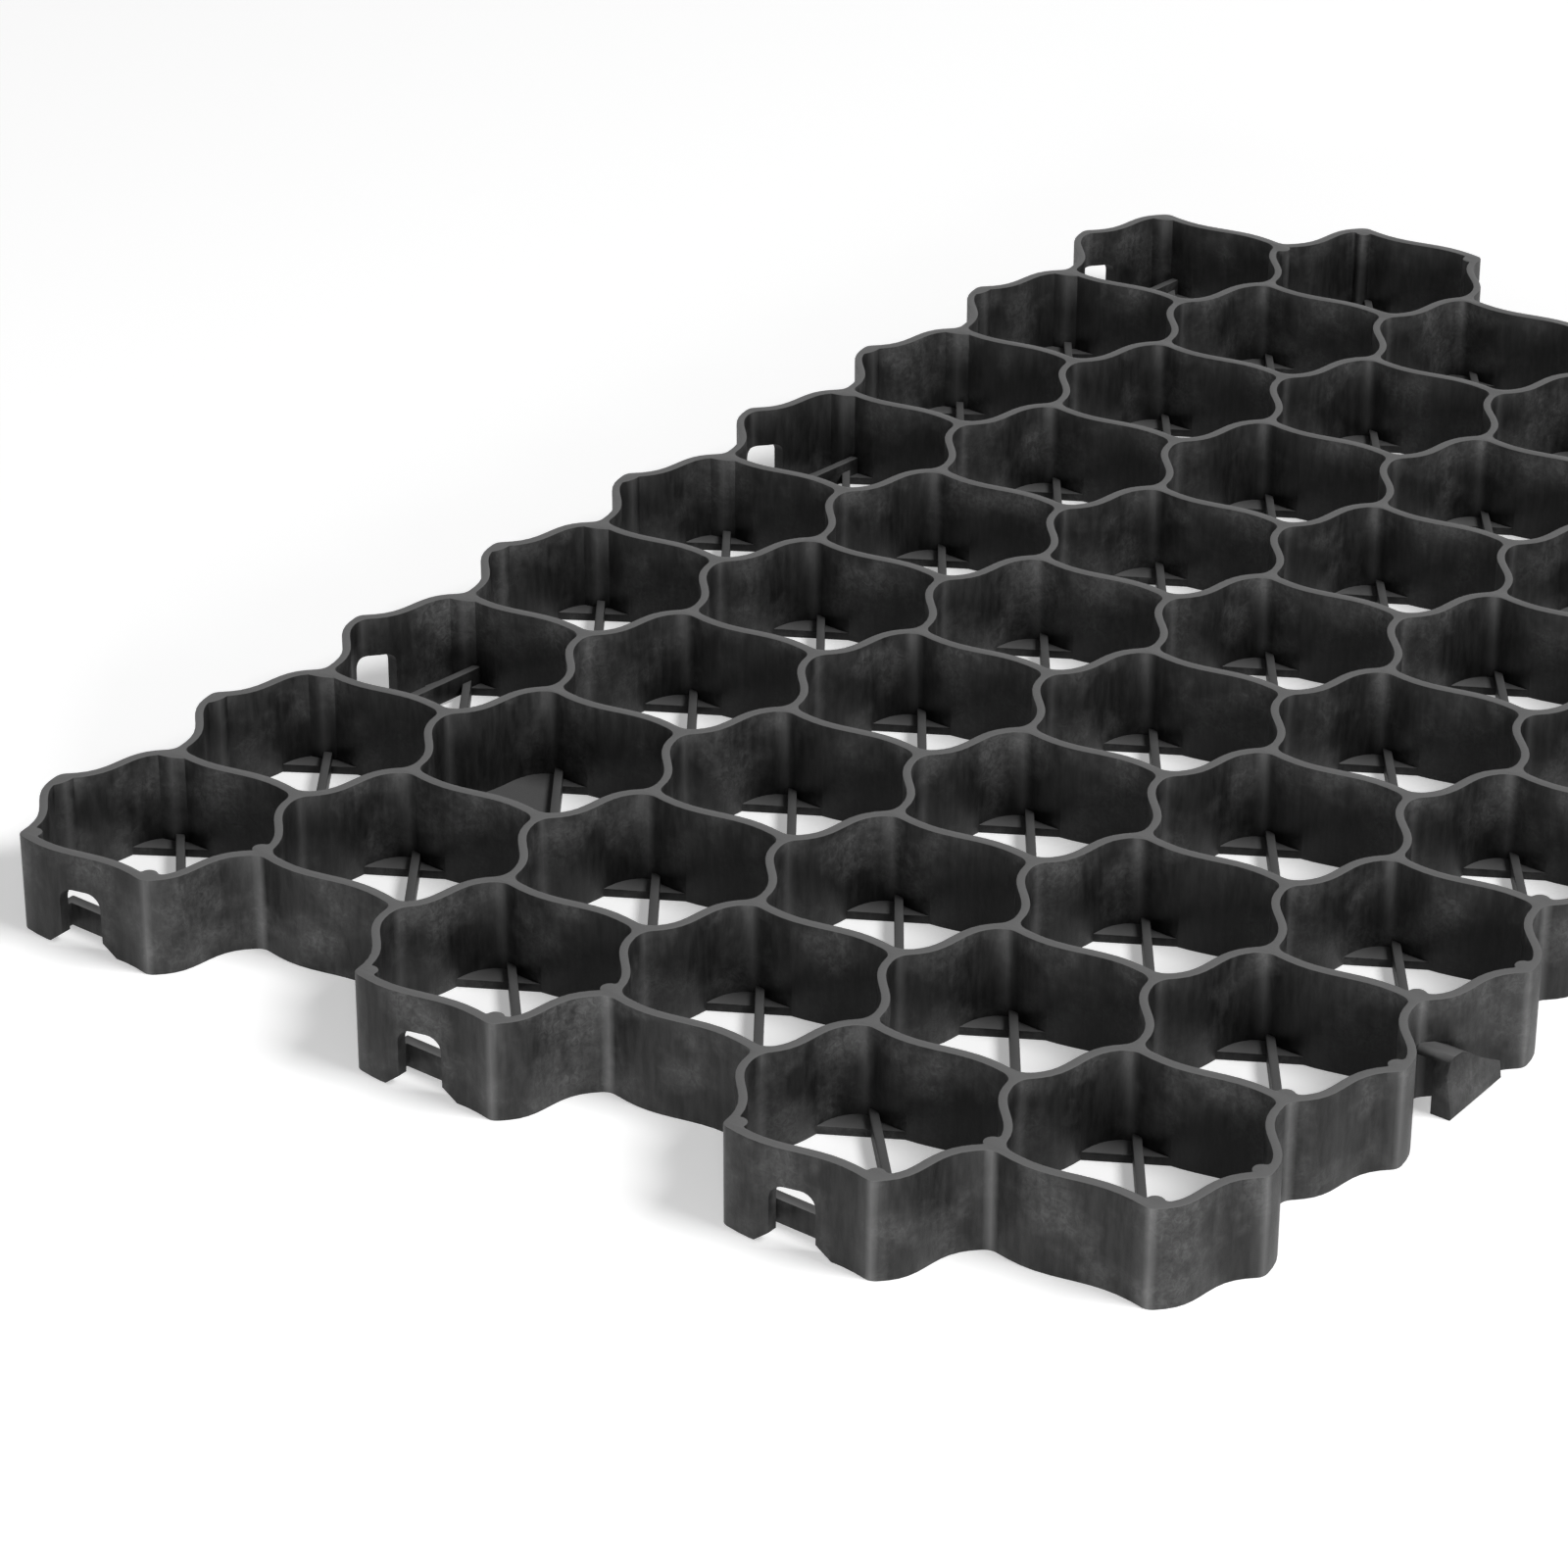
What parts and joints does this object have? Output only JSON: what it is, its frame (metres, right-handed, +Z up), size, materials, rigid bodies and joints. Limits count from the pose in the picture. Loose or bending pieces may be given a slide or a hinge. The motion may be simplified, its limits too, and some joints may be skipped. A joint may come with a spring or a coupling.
{
  "type": "gravel grid",
  "caption": "Flat moulded grid panel of open six-sided cells with waved walls, floor ribs, and hooks and slots along its sides that join it to the next panels.",
  "frame": {"origin": "centre of the front left cell, on the plane that the panel lies on", "axes": "+X along the front side, +Y along the left side towards the back, +Z up"},
  "size_m": [0.4985, 0.783, 0.0385],
  "materials": {
    "plastic": "matte, lightly mottled"
  },
  "bodies": {
    "root": {"grid": "plastic"}
  },
  "joints": []
}
